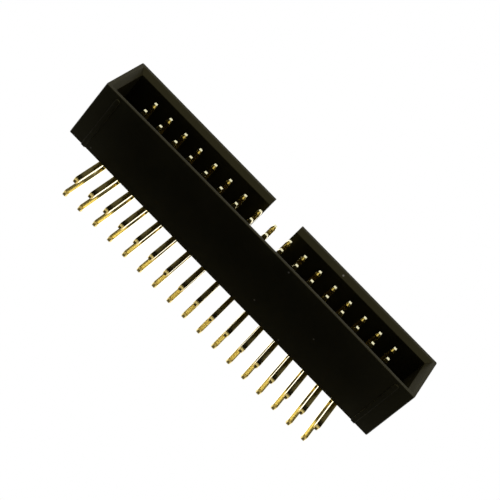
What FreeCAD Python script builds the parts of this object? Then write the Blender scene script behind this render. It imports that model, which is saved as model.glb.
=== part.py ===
import FreeCAD, Part
import os

# A right-angle shrouded box header for 34-way flat cable: a moulded housing
# with two rows of square contacts bent down into the board.
#
# Axes, in millimetres: X runs along the rows, the mouth opens towards -Y and +Z
# points away from the board. The board's top face is Z = 0, and the origin is
# the centre of the pattern of solder tails.

os.makedirs("parts", exist_ok=True)

# Contact grid
pitch = 2.54
columns = 17

# Contacts, bent from square wire
wire_width = 0.64
bend_inner_radius = 0.45
tip_end_width = 0.40
tip_taper_length = 0.45
tail_setback = 1.97
tail_length = 3.30
tip_recess = 0.85

# Housing
housing_height = 8.50
housing_depth = 8.80
end_margin = 4.98
long_wall = 1.05
end_wall = 1.10
floor_thickness = 2.40
corner_radius = 0.20

# Mouth of the housing
lead_in = 0.60
key_slot_width = 4.50

# Holes that hold the contacts
hole_clearance = 0.02
hole_lead_in = 0.25

# Ribs that stand the housing off the board
rib_height = 0.15
rib_width = 0.60
rib_inset = 2.35
rib_front_gap = 0.45

# Mark beside contact 1
mark_width = 1.50
mark_depth = 0.15
mark_front_gap = 1.10

# Places that follow from the sizes above
row_span = (columns - 1) * pitch
half_length = row_span / 2 + end_margin
inner_tail_y = -pitch / 2
outer_tail_y = pitch / 2
rear_y = inner_tail_y - tail_setback
mouth_y = rear_y - housing_depth
floor_y = rear_y - floor_thickness
underside_z = rib_height
top_z = underside_z + housing_height
cavity_bottom_z = underside_z + long_wall
cavity_top_z = top_z - long_wall
cavity_centre_z = (cavity_bottom_z + cavity_top_z) / 2
lower_row_z = cavity_centre_z - pitch / 2
upper_row_z = cavity_centre_z + pitch / 2
cavity_half_length = half_length - end_wall
column_places = [i * pitch - row_span / 2 for i in range(columns)]


def block(low, high):
    """A box between two opposite corners."""
    size = [b - a for a, b in zip(low, high)]
    return Part.makeBox(*size, FreeCAD.Vector(*low))


def taper_along_y(x, z, start, end):
    """A solid about (x, z) that narrows along Y. Each end is its (y, half width, half height)."""
    start_y, start_half_x, start_half_z = start
    end_y, end_half_x, end_half_z = end
    return Part.makeWedge(
        x - start_half_x, start_y, z - start_half_z, z - end_half_z, x - end_half_x,
        x + start_half_x, end_y, z + start_half_z, z + end_half_z, x + end_half_x,
    )


def outer_block():
    """The housing's outside, rounded along the edges that run from the mouth to the rear."""
    solid = block((-half_length, mouth_y, underside_z), (half_length, rear_y, top_z))
    draw_edges = [edge for edge in solid.Edges if abs(edge.tangentAt(edge.FirstParameter).y) > 0.5]
    return solid.makeFillet(corner_radius, draw_edges)


def cavity():
    """The socket for the plug, with a lead-in all round its mouth."""
    half_height = (cavity_top_z - cavity_bottom_z) / 2
    socket = block(
        (-cavity_half_length, mouth_y - lead_in, cavity_bottom_z),
        (cavity_half_length, floor_y, cavity_top_z),
    )
    # The lead-in is cut by a taper that starts in front of the mouth.
    flare = taper_along_y(
        0,
        cavity_centre_z,
        (mouth_y - lead_in, cavity_half_length + 2 * lead_in, half_height + 2 * lead_in),
        (mouth_y + lead_in, cavity_half_length, half_height),
    )
    return socket.fuse(flare)


def key_slot():
    """The slot in the top wall that takes the plug's key, as deep as the socket."""
    return block(
        (-key_slot_width / 2, mouth_y - lead_in, cavity_centre_z),
        (key_slot_width / 2, floor_y, top_z + lead_in),
    )


def contact_hole(x, z):
    """A square hole through the floor, flared at the rear where its contact goes in."""
    half = wire_width / 2 + hole_clearance
    hole = block((x - half, floor_y - lead_in, z - half), (x + half, rear_y + hole_lead_in, z + half))
    flare = taper_along_y(
        x,
        z,
        (rear_y - hole_lead_in, half, half),
        (rear_y + hole_lead_in, half + 2 * hole_lead_in, half + 2 * hole_lead_in),
    )
    return hole.fuse(flare)


def rib(x):
    """A low rib under the housing, rounded towards the mouth and square at the rear."""
    half = rib_width / 2
    front = mouth_y + rib_front_gap + half
    left_rear = FreeCAD.Vector(x - half, rear_y, 0)
    left_front = FreeCAD.Vector(x - half, front, 0)
    nose = FreeCAD.Vector(x, front - half, 0)
    right_front = FreeCAD.Vector(x + half, front, 0)
    right_rear = FreeCAD.Vector(x + half, rear_y, 0)
    outline = Part.Wire(
        [
            Part.makeLine(left_rear, left_front),
            Part.Arc(left_front, nose, right_front).toShape(),
            Part.makeLine(right_front, right_rear),
            Part.makeLine(right_rear, left_rear),
        ]
    )
    # It reaches up into the wall, so that the two join all along.
    return Part.Face(outline).extrude(FreeCAD.Vector(0, 0, 2 * rib_height))


def contact_one_mark():
    """A shallow triangle in the top face, level with contact 1 and pointing at the mouth."""
    x = column_places[-1]
    tip_y = mouth_y + mark_front_gap
    base_y = tip_y + mark_width * 3 ** 0.5 / 2
    z = top_z - mark_depth
    outline = Part.makePolygon(
        [
            FreeCAD.Vector(x, tip_y, z),
            FreeCAD.Vector(x + mark_width / 2, base_y, z),
            FreeCAD.Vector(x - mark_width / 2, base_y, z),
            FreeCAD.Vector(x, tip_y, z),
        ]
    )
    return Part.Face(outline).extrude(FreeCAD.Vector(0, 0, 2 * mark_depth))


def housing():
    """The moulded housing, in one piece."""
    ribs = [rib(side * (half_length - rib_inset)) for side in (-1, 1)]
    body = outer_block().fuse(ribs).removeSplitter()
    cuts = [cavity(), key_slot(), contact_one_mark()]
    cuts += [contact_hole(x, z) for x in column_places for z in (lower_row_z, upper_row_z)]
    return body.cut(cuts).Solids[0]


def quarter_arc(centre_y, centre_z, radius):
    """An arc in the side view, from straight above its centre round to the rear of it."""
    diagonal = radius / 2 ** 0.5
    top = FreeCAD.Vector(0, centre_y, centre_z + radius)
    middle = FreeCAD.Vector(0, centre_y + diagonal, centre_z + diagonal)
    rear = FreeCAD.Vector(0, centre_y + radius, centre_z)
    return Part.Arc(top, middle, rear).toShape()


def bent_wire(row_z, tail_y, front_y, foot_z):
    """Square wire from front_y along the row's height, round the bend and down to foot_z."""
    half = wire_width / 2
    centre_y = tail_y - half - bend_inner_radius
    centre_z = row_z - half - bend_inner_radius
    inner_arc = quarter_arc(centre_y, centre_z, bend_inner_radius)
    outer_arc = quarter_arc(centre_y, centre_z, bend_inner_radius + wire_width)
    inner_start, inner_end = inner_arc.Vertexes[0].Point, inner_arc.Vertexes[-1].Point
    outer_start, outer_end = outer_arc.Vertexes[0].Point, outer_arc.Vertexes[-1].Point
    front_low = FreeCAD.Vector(0, front_y, row_z - half)
    front_high = FreeCAD.Vector(0, front_y, row_z + half)
    foot_front = FreeCAD.Vector(0, tail_y - half, foot_z)
    foot_rear = FreeCAD.Vector(0, tail_y + half, foot_z)
    side_view = Part.Wire(
        [
            Part.makeLine(front_low, inner_start),
            inner_arc,
            Part.makeLine(inner_end, foot_front),
            Part.makeLine(foot_front, foot_rear),
            Part.makeLine(foot_rear, outer_end),
            outer_arc,
            Part.makeLine(outer_start, front_high),
            Part.makeLine(front_high, front_low),
        ]
    )
    flat = Part.Face(side_view).translated(FreeCAD.Vector(-half, 0, 0))
    return flat.extrude(FreeCAD.Vector(wire_width, 0, 0))


def contact(row_z, tail_y):
    """One contact at X = 0: a mating pin along Y, a bend, and a solder tail down through the board."""
    half = wire_width / 2
    end_half = tip_end_width / 2
    tip_y = mouth_y + tip_recess
    front_y = tip_y + tip_taper_length
    foot_z = tip_taper_length - tail_length
    wire = bent_wire(row_z, tail_y, front_y, foot_z)
    mating_tip = taper_along_y(0, row_z, (tip_y, end_half, end_half), (front_y, half, half))
    # The tail's tip has the mating tip's form, turned to point down.
    tail_tip = taper_along_y(0, 0, (-tip_taper_length, end_half, end_half), (0, half, half))
    tail_tip.rotate(FreeCAD.Vector(0, 0, 0), FreeCAD.Vector(1, 0, 0), 90)
    tail_tip.translate(FreeCAD.Vector(0, tail_y, foot_z))
    return wire.fuse([mating_tip, tail_tip]).removeSplitter().Solids[0]


def export(name, solid):
    """Writes one piece, named as the node that it becomes."""
    solid.exportStep(f"parts/{name}.step")
    print(f"{name}: {solid.Volume:.3f} mm3, valid {solid.isValid()}")


export("housing", housing())

# Contact 1 is in the upper row at the +X end. Odd numbers run along the upper
# row and even numbers along the lower one.
upper_contact = contact(upper_row_z, outer_tail_y)
lower_contact = contact(lower_row_z, inner_tail_y)
for column, x in enumerate(reversed(column_places)):
    for row, master in enumerate((upper_contact, lower_contact)):
        number = 2 * column + row + 1
        export(f"contact_{number:02d}", master.translated(FreeCAD.Vector(x, 0, 0)))
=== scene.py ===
import math

import bmesh
import bpy
from mathutils import Matrix, Vector


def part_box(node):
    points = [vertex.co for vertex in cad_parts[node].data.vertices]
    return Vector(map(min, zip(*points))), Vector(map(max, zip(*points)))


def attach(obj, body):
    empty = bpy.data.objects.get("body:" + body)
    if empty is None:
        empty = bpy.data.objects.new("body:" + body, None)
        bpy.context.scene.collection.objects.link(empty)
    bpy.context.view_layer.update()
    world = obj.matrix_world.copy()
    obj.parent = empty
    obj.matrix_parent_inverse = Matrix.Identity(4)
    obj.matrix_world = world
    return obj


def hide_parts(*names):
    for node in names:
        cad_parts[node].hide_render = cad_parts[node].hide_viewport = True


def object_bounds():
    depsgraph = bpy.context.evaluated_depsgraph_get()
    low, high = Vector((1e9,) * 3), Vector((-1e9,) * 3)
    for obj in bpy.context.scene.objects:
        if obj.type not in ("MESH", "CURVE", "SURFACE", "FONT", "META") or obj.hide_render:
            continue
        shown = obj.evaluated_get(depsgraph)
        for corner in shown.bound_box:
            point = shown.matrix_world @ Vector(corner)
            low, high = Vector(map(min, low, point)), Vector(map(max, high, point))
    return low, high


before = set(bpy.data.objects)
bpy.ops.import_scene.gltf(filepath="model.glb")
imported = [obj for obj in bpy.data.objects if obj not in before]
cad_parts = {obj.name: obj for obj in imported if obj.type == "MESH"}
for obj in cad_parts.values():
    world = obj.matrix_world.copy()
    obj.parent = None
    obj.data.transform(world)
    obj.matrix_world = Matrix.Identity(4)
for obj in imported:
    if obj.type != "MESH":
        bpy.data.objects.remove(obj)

cad_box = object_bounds()

# A right-angle box header dressed over its CAD solids: a black moulded housing around two
# rows of gold-plated contacts. X runs along the rows, the mouth opens towards -Y and +Z
# points away from the board.

# Lengths are in metres, worked out from millimetres.
mm = 0.001

# Contacts: square wire with softened edges, tapered at both ends
contact_count = 34
wire_width = 0.64 * mm
wire_edge_radius = 0.04 * mm
wire_edge_steps = 3
bend_inner_radius = 0.45 * mm
bend_steps = 10
tip_taper = 0.45 * mm
tip_steps = 3
tip_end_width = 0.40 * mm
tip_end_share = tip_end_width / wire_width
tip_edge_length = 0.02 * mm
tip_edge_inset = 0.012 * mm
mating_tip_roundness = 1.0
tail_tip_roundness = 1.7

# Housing: the edges left by the mould
housing_edge_radius = 0.07 * mm
housing_edge_steps = 3
housing_edge_angle = math.radians(25)

# The long walls draw in a little between the ends as the moulding cools
socket_half_length = 24.20 * mm
socket_depth = 6.40 * mm
near_wall_bow = 0.23 * mm
far_wall_bow = 0.03 * mm
bow_growth = 1.5
bow_spacing = 1.27 * mm

# Meshes: limits below which points are welded and faces joined, and the pull of flat faces on shading
weld_distance = 0.001 * mm
fine_distance = 0.0001 * mm
level_angle = math.radians(1)
flat_face_weight = 100

# Black plastic: its colours
deep_black = (0.0066, 0.0056, 0.0020, 1.0)
warm_black = (0.0135, 0.0115, 0.0044, 1.0)
# The pale colour along the edges is a painted edge highlight, with a little wear
edge_highlight_and_wear_black = (0.045, 0.041, 0.020, 1.0)
dust_grey = (0.30, 0.28, 0.24, 1.0)
sheen_colour = (1.0, 0.92, 0.48, 1.0)

# Black plastic: its finish
plastic_patch_size = 6.0 * mm
plastic_patch_contrast = 1.6
plastic_roughness = (0.30, 0.50)
sheen_strength = 0.31
rear_roughness_share = (1.0, 0.5)
# Pale edges: a painted edge highlight, with a little wear
edge_highlight_and_wear_width = 0.12 * mm
edge_highlight_and_wear_strength = 0.35
dust_size = 0.45 * mm
dust_share = 0.003
dust_strength = 0.6
grain_size = 0.10 * mm
grain_contrast = 2.0
grain_strength = 0.5
grain_depth = 0.006 * mm

# Gold: its colours, on the wire, on the tapers of the tails and on the mating ends
rich_gold = (0.88, 0.73, 0.29, 1.0)
pale_gold = (0.95, 0.83, 0.41, 1.0)
taper_gold = (0.86, 0.68, 0.24, 1.0)
end_gold = (0.95, 0.90, 0.58, 1.0)

# Gold: its finish
gold_patch_size = 1.6 * mm
gold_patch_contrast = 1.0
drawn_line_scale = (7 / mm, 0.12 / mm, 0.12 / mm)
drawn_line_detail = 3.0
drawn_line_range = (0.3, 0.7)
drawn_line_roughness = (0.12, 0.17)
gold_patch_roughness = (-0.02, 0.04)
taper_roughness = 0.16
tail_roughness = 0.03
drawn_line_strength = 0.5
drawn_line_depth = 0.0012 * mm

# Where a finish changes: the two ends of each fade, from the place that it is about
rear_face_fade = (-0.16 * mm, -0.04 * mm)
taper_fade = (0.02 * mm, -0.03 * mm)
mating_end_fade = (0.04 * mm, 0.01 * mm)
tail_fade = (-0.26 * mm, 0.74 * mm)

# Shared effects
full_range = (0.0, 1.0)
middle_tone = 0.5
patch_detail = 4.0
patch_break_up = 0.55
# The edge mask below carries a painted edge highlight, with a little wear
edge_highlight_and_wear_samples = 6
edge_highlight_and_wear_fade = (0.99, 0.80)
speck_fade = (0.35, 0.15)

# View of the photograph: the camera is below the board side and in front of the mouth
aim = Vector((-0.10, -7.60, 3.53)) * mm
view_distance = 149.6 * mm
view_rise = math.radians(54.226)
view_turn = math.radians(-1.573)
view_roll = math.radians(-46.929)
nearest_seen = 0.005
farthest_seen = 20.0

# Lens and sensor are in millimetres, as the camera takes them
lens = 90.41
sensor_width = 36.0

# Floor: its size, its colours in light and to the camera, and its glow, which leaves a painted shadow below
# the part in reflections
floor_gap = 0.05 * mm
floor_radius = 3.0
floor_segments = 96
floor_roughness = 0.9
floor_lit = (0.20, 0.20, 0.20, 1.0)
floor_seen = (0.50, 0.50, 0.50, 1.0)
floor_fade = (0.08, 0.60)
floor_glow = (0.46, 0.83)
# Gloss sees the floor glow only clear of the part; the dark strip right below it is a painted shadow
painted_shadow_edge_fade = (-1.0 * mm, 3.0 * mm)
mirrored_floor_glow = 0.42

# Surround: its plain level, and the room that gloss mirrors, by direction
white = (1.0, 1.0, 1.0, 1.0)
plain_level = 0.35
room_fade = (-0.4, 0.3)
room_levels = (0.25, 1.2)
low_band_fade = (0.46, 0.30)
window_normal = Vector((0.0, 0.809, -0.588))
window_edge_fade = (0.16, 0.08)
window_end_fade = (0.45, 0.25)
window_side_fade = (-0.1, 0.1)
window_levels = (0.66, 1.0)

# Softboxes: name, place and size in metres, and power in watts
softboxes = (
    ("front_light", (-0.04, -0.50, 0.03), (0.50, 0.05), 2.4),
    ("back_light", (0.12, 0.46, 0.14), (0.50, 0.24), 3.0),
    ("top_light", (-0.06, -0.06, 0.50), (0.40, 0.40), 1.0),
)


def add_camera():
    """The camera, on the photograph's line of sight and rolled as it was held."""
    data = bpy.data.cameras.new("camera")
    data.lens = lens
    data.sensor_width = sensor_width
    data.clip_start = nearest_seen
    data.clip_end = farthest_seen
    sight = Vector((math.sin(view_turn) * math.cos(view_rise),
                    math.cos(view_turn) * math.cos(view_rise),
                    math.sin(view_rise)))
    level = sight.to_track_quat("-Z", "Y").to_matrix().to_4x4()
    camera = bpy.data.objects.new("camera", data)
    camera.matrix_world = (Matrix.Translation(aim - sight * view_distance)
                           @ Matrix.Rotation(view_roll, 4, sight) @ level)
    bpy.context.scene.collection.objects.link(camera)
    bpy.context.scene.camera = camera


def settle_order(bm):
    """Numbers a mesh's corners and faces by their places, so that every run writes them in one order."""
    by_place = sorted(bm.verts, key=lambda vert: tuple(vert.co))
    for index, vert in enumerate(by_place):
        vert.index = index
    bm.verts.sort()
    by_corners = sorted(bm.faces, key=lambda face: sorted(vert.index for vert in face.verts))
    for index, face in enumerate(by_corners):
        face.index = index
    bm.faces.sort()


def add_object(name, bm):
    """A new object from a finished bmesh, with smooth faces that shade flat where they are flat."""
    settle_order(bm)
    for face in bm.faces:
        face.smooth = True
    mesh = bpy.data.meshes.new(name)
    bm.to_mesh(mesh)
    bm.free()
    piece = bpy.data.objects.new(name, mesh)
    bpy.context.scene.collection.objects.link(piece)
    flat = piece.modifiers.new("flat_faces", "WEIGHTED_NORMAL")
    flat.mode = "FACE_AREA"
    flat.weight = flat_face_weight
    flat.keep_sharp = True
    return piece


class Nodes:
    """Adds nodes to a node tree, one call for each."""

    def __init__(self, tree):
        self.tree = tree

    def add(self, kind, inputs=None, **settings):
        """A new node. Each input is a value, or the socket that feeds it."""
        node = self.tree.nodes.new(kind)
        for name, value in settings.items():
            setattr(node, name, value)
        for name, value in (inputs or {}).items():
            if isinstance(value, bpy.types.NodeSocket):
                self.tree.links.new(value, node.inputs[name])
            else:
                node.inputs[name].default_value = value
        return node

    def maths(self, operation, first, second=0.0):
        """One sum on one or two numbers."""
        return self.add("ShaderNodeMath", {0: first, 1: second}, operation=operation).outputs[0]

    def vector_maths(self, operation, first, second=(0.0, 0.0, 0.0)):
        """One sum on one or two vectors. It gives a vector or a number, by name."""
        return self.add("ShaderNodeVectorMath", {0: first, 1: second}, operation=operation).outputs

    def spread(self, value, ends, results=full_range):
        """Carries a value from between two ends to between two results, and holds it past the ends."""
        node = self.add("ShaderNodeMapRange", {"Value": value, "From Min": ends[0], "From Max": ends[1],
                                               "To Min": results[0], "To Max": results[1]})
        return node.outputs["Result"]

    def blend(self, share, first, second):
        """Two colours mixed. A share of 0 gives the first and 1 the second."""
        return self.add("ShaderNodeMix", {0: share, 6: first, 7: second}, data_type="RGBA").outputs[2]

    def place(self):
        """The place on the object, in metres."""
        return self.add("ShaderNodeTexCoord").outputs["Object"]

    def axes(self, vector):
        """A vector's X, Y and Z."""
        return self.add("ShaderNodeSeparateXYZ", {0: vector}).outputs

    def effect(self, group, values):
        """A shared effect with this material's own values."""
        return self.add("ShaderNodeGroup", values, node_tree=group).outputs[0]


def about(place, fade):
    """The two ends of a fade, moved to the place that it is about."""
    return place + fade[0], place + fade[1]


def new_group(name, inputs, output):
    """An empty shader group that turns numbers into one number; gives its node helper and its inputs."""
    tree = bpy.data.node_groups.new(name, "ShaderNodeTree")
    for socket, value in inputs.items():
        made = tree.interface.new_socket(socket, in_out="INPUT", socket_type="NodeSocketFloat")
        made.default_value = value
    tree.interface.new_socket(output, in_out="OUTPUT", socket_type="NodeSocketFloat")
    nodes = Nodes(tree)
    return nodes, nodes.add("NodeGroupInput").outputs


def mottle_group():
    """Soft uneven patches of a given size, about the middle tone."""
    nodes, given = new_group("mottle", {"Size": 1.0 * mm, "Contrast": 1.0}, "Value")
    scale = nodes.maths("DIVIDE", 1.0, given["Size"])
    noise = nodes.add("ShaderNodeTexNoise", {"Vector": nodes.place(), "Scale": scale,
                                             "Detail": patch_detail, "Roughness": patch_break_up})
    centred = nodes.maths("SUBTRACT", noise.outputs["Fac"], middle_tone)
    value = nodes.maths("ADD", nodes.maths("MULTIPLY", centred, given["Contrast"]), middle_tone)
    nodes.add("NodeGroupOutput", {"Value": value})
    return nodes.tree


def edge_highlight_and_wear_group():
    """A mask for a painted edge highlight with a little wear, 1 along the outer edges, that fades over a
    given width.
    """
    nodes, given = new_group("edge_highlight_and_wear", {"Width": 0.1 * mm}, "Mask")
    rounded = nodes.add("ShaderNodeBevel", {"Radius": given["Width"]}, samples=edge_highlight_and_wear_samples)
    true_normal = nodes.add("ShaderNodeNewGeometry").outputs["True Normal"]
    agreement = nodes.vector_maths("DOT_PRODUCT", rounded.outputs[0], true_normal)["Value"]
    nodes.add("NodeGroupOutput", {"Mask": nodes.spread(agreement, edge_highlight_and_wear_fade)})
    return nodes.tree


def specks_group():
    """A mask of dust specks, at most one in each cell of a given size. Share is how many cells have one."""
    nodes, given = new_group("specks", {"Size": 0.1 * mm, "Share": 0.05}, "Mask")
    scale = nodes.maths("DIVIDE", 1.0, given["Size"])
    cells = nodes.add("ShaderNodeTexVoronoi", {"Vector": nodes.place(), "Scale": scale}).outputs
    lot = nodes.add("ShaderNodeSeparateColor", {"Color": cells["Color"]}).outputs["Red"]
    kept = nodes.maths("LESS_THAN", lot, given["Share"])
    spot = nodes.spread(cells["Distance"], speck_fade)
    nodes.add("NodeGroupOutput", {"Mask": nodes.maths("MULTIPLY", kept, spot)})
    return nodes.tree


def new_material(name):
    """An empty material and its node helper."""
    material = bpy.data.materials.new(name)
    material.use_nodes = True
    material.node_tree.nodes.clear()
    return material, Nodes(material.node_tree)


def moulded_plastic(mottle, edge_highlight_and_wear, specks):
    """Black glass-filled plastic with a fine spark-eroded grain, and paler edges that are a painted edge
    highlight with a little wear.
    """
    material, nodes = new_material("black_moulding")
    tone = nodes.effect(mottle, {"Size": plastic_patch_size, "Contrast": plastic_patch_contrast})
    edge = nodes.effect(edge_highlight_and_wear, {"Width": edge_highlight_and_wear_width})
    dust = nodes.effect(specks, {"Size": dust_size, "Share": dust_share})
    colour = nodes.blend(tone, deep_black, warm_black)
    # Paler edges: a painted edge highlight, with a little wear.
    colour = nodes.blend(nodes.maths("MULTIPLY", edge, edge_highlight_and_wear_strength), colour, edge_highlight_and_wear_black)
    colour = nodes.blend(nodes.maths("MULTIPLY", dust, dust_strength), colour, dust_grey)
    # The rear face comes from a smoother part of the mould.
    rear_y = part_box("housing")[1].y
    rear = nodes.spread(nodes.axes(nodes.place())["Y"], about(rear_y, rear_face_fade), rear_roughness_share)
    rough = nodes.maths("MULTIPLY", nodes.spread(tone, full_range, plastic_roughness), rear)
    grain = nodes.effect(mottle, {"Size": grain_size, "Contrast": grain_contrast})
    bump = nodes.add("ShaderNodeBump", {"Height": grain, "Strength": grain_strength,
                                        "Distance": grain_depth})
    shader = nodes.add("ShaderNodeBsdfPrincipled", {
        "Base Color": colour,
        "Roughness": rough,
        "Specular IOR Level": sheen_strength,
        "Specular Tint": sheen_colour,
        "Normal": bump.outputs[0],
    })
    nodes.add("ShaderNodeOutputMaterial", {"Surface": shader.outputs[0]})
    return material


def gold_plating(mottle):
    """Thin gold over drawn wire, with faint lines along the wire."""
    material, nodes = new_material("gold_plating")
    # The low corner of a contact's box is level with the ends of both its tips.
    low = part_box("contact_01")[0]
    rear_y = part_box("housing")[1].y
    place = nodes.place()
    axes = nodes.axes(place)
    taper = nodes.spread(axes["Z"], about(low.z + tip_taper, taper_fade))
    mating_end = nodes.spread(axes["Y"], about(low.y, mating_end_fade))
    tail = nodes.spread(axes["Y"], about(rear_y, tail_fade))
    tone = nodes.effect(mottle, {"Size": gold_patch_size, "Contrast": gold_patch_contrast})
    colour = nodes.blend(tone, rich_gold, pale_gold)
    colour = nodes.blend(taper, colour, taper_gold)
    colour = nodes.blend(mating_end, colour, end_gold)
    # The wire never turns about X, so lines that vary mostly with X run along it, round the bend too.
    drawn = nodes.add("ShaderNodeMapping", {"Vector": place, "Scale": drawn_line_scale}).outputs[0]
    lines = nodes.add("ShaderNodeTexNoise", {"Vector": drawn, "Scale": 1.0,
                                             "Detail": drawn_line_detail}).outputs["Fac"]
    rough = nodes.maths("ADD", nodes.spread(lines, drawn_line_range, drawn_line_roughness),
                        nodes.spread(tone, full_range, gold_patch_roughness))
    rough = nodes.maths("ADD", rough, nodes.maths("MULTIPLY", taper, taper_roughness))
    rough = nodes.maths("ADD", rough, nodes.maths("MULTIPLY", tail, tail_roughness))
    bump = nodes.add("ShaderNodeBump", {"Height": lines, "Strength": drawn_line_strength,
                                        "Distance": drawn_line_depth})
    shader = nodes.add("ShaderNodeBsdfPrincipled", {
        "Base Color": colour,
        "Metallic": 1.0,
        "Roughness": rough,
        "Normal": bump.outputs[0],
    })
    nodes.add("ShaderNodeOutputMaterial", {"Surface": shader.outputs[0]})
    return material


def finish_piece(piece, node, material):
    """Dresses a piece and lets it stand for its CAD node."""
    piece.data.materials.append(material)
    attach(piece, "root")
    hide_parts(node)


def slice_across(bm, axis, start, end, spacing):
    """Cuts every face that crosses evenly spaced planes across an axis."""
    normal = Vector((0, 0, 0))
    normal[axis] = 1
    for step in range(1, round((end - start) / spacing)):
        everything = bm.verts[:] + bm.edges[:] + bm.faces[:]
        bmesh.ops.bisect_plane(bm, geom=everything, dist=fine_distance,
                               plane_co=normal * (start + step * spacing), plane_no=normal)


def draw_walls_in(bm):
    """Bends the two long walls in towards each other, most at the middle of the mouth."""
    low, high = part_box("housing")
    floor_y = low.y + socket_depth
    slice_across(bm, 0, -socket_half_length, socket_half_length, bow_spacing)
    slice_across(bm, 1, low.y, floor_y, bow_spacing)
    middle_z = (low.z + high.z) / 2
    for vert in bm.verts:
        along = max(0.0, 1 - (vert.co.x / socket_half_length) ** 2)
        towards_mouth = max(0.0, (floor_y - vert.co.y) / socket_depth)
        bow = near_wall_bow if vert.co.z < middle_z else -far_wall_bow
        vert.co.z += bow * along * towards_mouth ** bow_growth


def moulded_housing(material):
    """The housing with the small radius that every edge of a moulding has."""
    bm = bmesh.new()
    bm.from_mesh(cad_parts["housing"].data)
    bmesh.ops.remove_doubles(bm, verts=bm.verts, dist=weld_distance)
    bmesh.ops.dissolve_limit(bm, angle_limit=level_angle, verts=bm.verts, edges=bm.edges)
    sharp = [edge for edge in bm.edges if edge.is_manifold and edge.calc_face_angle() > housing_edge_angle]
    bmesh.ops.bevel(bm, geom=sharp, offset=housing_edge_radius, offset_type="OFFSET", affect="EDGES",
                    segments=housing_edge_steps, profile=0.5, material=-1, clamp_overlap=True)
    draw_walls_in(bm)
    finish_piece(add_object("moulded_housing", bm), "housing", material)


def edges_of(geometry):
    """The edges among the parts of a mesh that an operator gives."""
    return [item for item in geometry if isinstance(item, bmesh.types.BMEdge)]


def verts_of(ring):
    """The vertices of a ring of edges, each of them once."""
    return list(dict.fromkeys(vert for edge in ring for vert in edge.verts))


def carry(bm, ring, shift):
    """Draws a ring of edges out along shift and gives the new ring."""
    new_ring = edges_of(bmesh.ops.extrude_edge_only(bm, edges=ring)["geom"])
    bmesh.ops.translate(bm, vec=shift, verts=verts_of(new_ring))
    return new_ring


def shrink(bm, ring, centre, share):
    """Scales a ring of edges about its centre."""
    bmesh.ops.scale(bm, vec=(share, share, share), space=Matrix.Translation(-centre), verts=verts_of(ring))


def coined_tip(bm, ring, centre, along, roundness):
    """Draws the wire's end in to a small square face. The taper is straight at a roundness of 1."""
    rings = [ring]
    share = 1.0
    advance = along * (tip_taper - tip_edge_length) / tip_steps
    for step in range(1, tip_steps + 1):
        rings.append(carry(bm, rings[-1], advance))
        centre = centre + advance
        new_share = 1 - (1 - tip_end_share) * (step / tip_steps) ** roundness
        shrink(bm, rings[-1], centre, new_share / share)
        share = new_share
    edge_advance = along * tip_edge_length
    rings.append(carry(bm, rings[-1], edge_advance))
    shrink(bm, rings[-1], centre + edge_advance, 1 - 2 * tip_edge_inset / tip_end_width)
    bmesh.ops.edgeloop_fill(bm, edges=rings[-1])
    for edge in rings[0] + rings[-2] + rings[-1]:
        edge.smooth = False


def wire_section(bm, centre):
    """The wire's square section with rounded corners, as a ring of edges that faces along Y."""
    made = bmesh.ops.create_circle(bm, segments=4, radius=wire_width / 2 ** 0.5)
    upright = Matrix.Rotation(math.radians(90), 4, "X") @ Matrix.Rotation(math.radians(45), 4, "Z")
    bmesh.ops.transform(bm, matrix=Matrix.Translation(centre) @ upright, verts=made["verts"])
    bmesh.ops.bevel(bm, geom=made["verts"], offset=wire_edge_radius, offset_type="OFFSET",
                    affect="VERTICES", segments=wire_edge_steps, profile=0.5, material=-1)
    return list(bm.edges)


def bent_contact(number, material):
    """One contact, from its mating tip along the row, round the bend and down to its solder tail."""
    node = f"contact_{number:02d}"
    low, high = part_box(node)
    half = wire_width / 2
    x = (low.x + high.x) / 2
    row_z, tail_y = high.z - half, high.y - half
    shoulder = Vector((x, low.y + tip_taper, row_z))
    bend = Vector((x, tail_y - half - bend_inner_radius, row_z - half - bend_inner_radius))
    foot = Vector((x, tail_y, low.z + tip_taper))
    bm = bmesh.new()
    section = wire_section(bm, shoulder)
    row_end = carry(bm, section, Vector((0, bend.y - shoulder.y, 0)))
    turned = bmesh.ops.spin(bm, geom=row_end + verts_of(row_end), cent=bend, axis=(1, 0, 0),
                            dvec=(0, 0, 0), angle=-math.radians(90), steps=bend_steps, use_merge=False,
                            use_duplicate=False)
    tail_end = carry(bm, edges_of(turned["geom_last"]), Vector((0, 0, foot.z - bend.z)))
    coined_tip(bm, section, shoulder, Vector((0, -1, 0)), mating_tip_roundness)
    coined_tip(bm, tail_end, foot, Vector((0, 0, -1)), tail_tip_roundness)
    bmesh.ops.remove_doubles(bm, verts=bm.verts, dist=fine_distance)
    bmesh.ops.recalc_face_normals(bm, faces=bm.faces)
    finish_piece(add_object(f"plated_{node}", bm), node, material)


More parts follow.
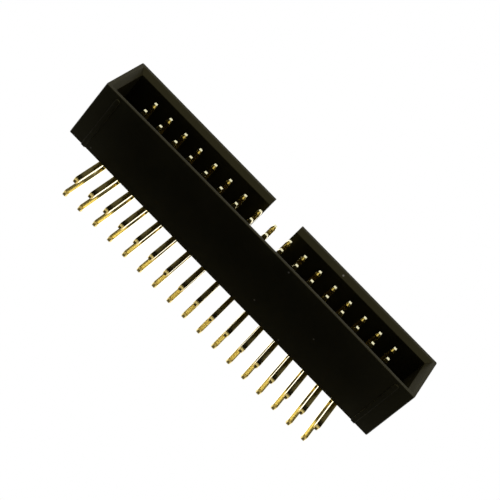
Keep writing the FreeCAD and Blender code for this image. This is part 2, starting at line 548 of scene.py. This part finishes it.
def floor_material():
    """A plain pale finish with a soft glow and a painted shadow below the part in what gloss mirrors, clear
    only to a camera that looks up through it.
    """
    material, nodes = new_material("pale_floor")
    path = nodes.add("ShaderNodeLightPath").outputs
    seen = path["Is Camera Ray"]
    place = nodes.place()
    distance = nodes.vector_maths("LENGTH", place)["Value"]
    seen_glow = nodes.maths("MULTIPLY", seen, nodes.spread(distance, floor_fade, floor_glow))
    # What gloss mirrors of the floor glows on both sides of the part, and not right below it: a painted
    # shadow seen only in reflections.
    low_y, high_y = cad_box[0][1], cad_box[1][1]
    aside = nodes.maths("ABSOLUTE", nodes.maths("SUBTRACT", nodes.axes(place)["Y"], (low_y + high_y) / 2))
    outside_painted_shadow = nodes.spread(aside, about((high_y - low_y) / 2, painted_shadow_edge_fade))
    mirrored = nodes.maths("MULTIPLY", path["Is Glossy Ray"], outside_painted_shadow)
    glow = nodes.maths("ADD", seen_glow, nodes.maths("MULTIPLY", mirrored, mirrored_floor_glow))
    shader = nodes.add("ShaderNodeBsdfPrincipled", {
        "Base Color": nodes.blend(seen, floor_lit, floor_seen),
        "Roughness": floor_roughness,
        "Specular IOR Level": 0.0,
        "Emission Color": white,
        "Emission Strength": glow,
    })
    behind = nodes.add("ShaderNodeNewGeometry").outputs["Backfacing"]
    clear = nodes.add("ShaderNodeBsdfTransparent")
    from_below = nodes.maths("MULTIPLY", behind, seen)
    either = nodes.add("ShaderNodeMixShader", {0: from_below, 1: shader.outputs[0], 2: clear.outputs[0]})
    nodes.add("ShaderNodeOutputMaterial", {"Surface": either.outputs[0]})
    return material


def add_floor():
    """A round floor just under the tails."""
    bm = bmesh.new()
    bmesh.ops.create_circle(bm, cap_ends=True, segments=floor_segments, radius=floor_radius)
    bmesh.ops.translate(bm, vec=(0, 0, cad_box[0][2] - floor_gap), verts=bm.verts)
    mesh = bpy.data.meshes.new("floor")
    bm.to_mesh(mesh)
    bm.free()
    mesh.materials.append(floor_material())
    floor = bpy.data.objects.new("floor", mesh)
    bpy.context.scene.collection.objects.link(floor)


def add_world():
    """White to the camera, a room with two windows to gloss, and a plain even light to all else."""
    world = bpy.data.worlds.new("surround")
    world.use_nodes = True
    world.node_tree.nodes.clear()
    nodes = Nodes(world.node_tree)
    path = nodes.add("ShaderNodeLightPath").outputs
    direction = nodes.add("ShaderNodeTexCoord").outputs["Generated"]
    towards = nodes.axes(direction)
    room = nodes.spread(towards["Y"], room_fade, room_levels)
    room = nodes.maths("MAXIMUM", room, nodes.spread(towards["Z"], low_band_fade))
    # A long strip window in front and one behind, both of them high up.
    folded = nodes.vector_maths("ABSOLUTE", direction)["Vector"]
    offset = nodes.vector_maths("DOT_PRODUCT", folded, window_normal)["Value"]
    window = nodes.spread(nodes.maths("ABSOLUTE", offset), window_edge_fade)
    window = nodes.maths("MULTIPLY", window, nodes.spread(nodes.axes(folded)["X"], window_end_fade))
    window = nodes.maths("MULTIPLY", window, nodes.maths("GREATER_THAN", towards["Z"], 0.0))
    window = nodes.maths("MULTIPLY", window, nodes.spread(towards["Y"], window_side_fade, window_levels))
    room = nodes.maths("ADD", room, window)
    mirrored = nodes.maths("MAXIMUM", path["Is Glossy Ray"], path["Is Transmission Ray"])
    level = nodes.maths("MULTIPLY", mirrored, nodes.maths("SUBTRACT", room, plain_level))
    level = nodes.maths("ADD", level, plain_level)
    level = nodes.maths("MAXIMUM", level, path["Is Camera Ray"])
    light = nodes.add("ShaderNodeBackground", {"Color": white, "Strength": level})
    nodes.add("ShaderNodeOutputWorld", {"Surface": light.outputs[0]})
    bpy.context.scene.world = world


def add_softbox(name, place, size, power):
    """A rectangular area light, turned to face the header and not mirrored in it."""
    data = bpy.data.lights.new(name, "AREA")
    data.shape = "RECTANGLE"
    data.size, data.size_y = size
    data.energy = power
    lamp = bpy.data.objects.new(name, data)
    lamp.visible_glossy = False
    lamp.location = place
    lamp.rotation_euler = (aim - Vector(place)).to_track_quat("-Z", "Y").to_euler()
    bpy.context.scene.collection.objects.link(lamp)


add_camera()
add_floor()
add_world()
for softbox in softboxes:
    add_softbox(*softbox)

mottle = mottle_group()
moulded_housing(moulded_plastic(mottle, edge_highlight_and_wear_group(), specks_group()))
plating = gold_plating(mottle)
for number in range(1, contact_count + 1):
    bent_contact(number, plating)

bpy.context.scene.view_settings.view_transform = "Standard"
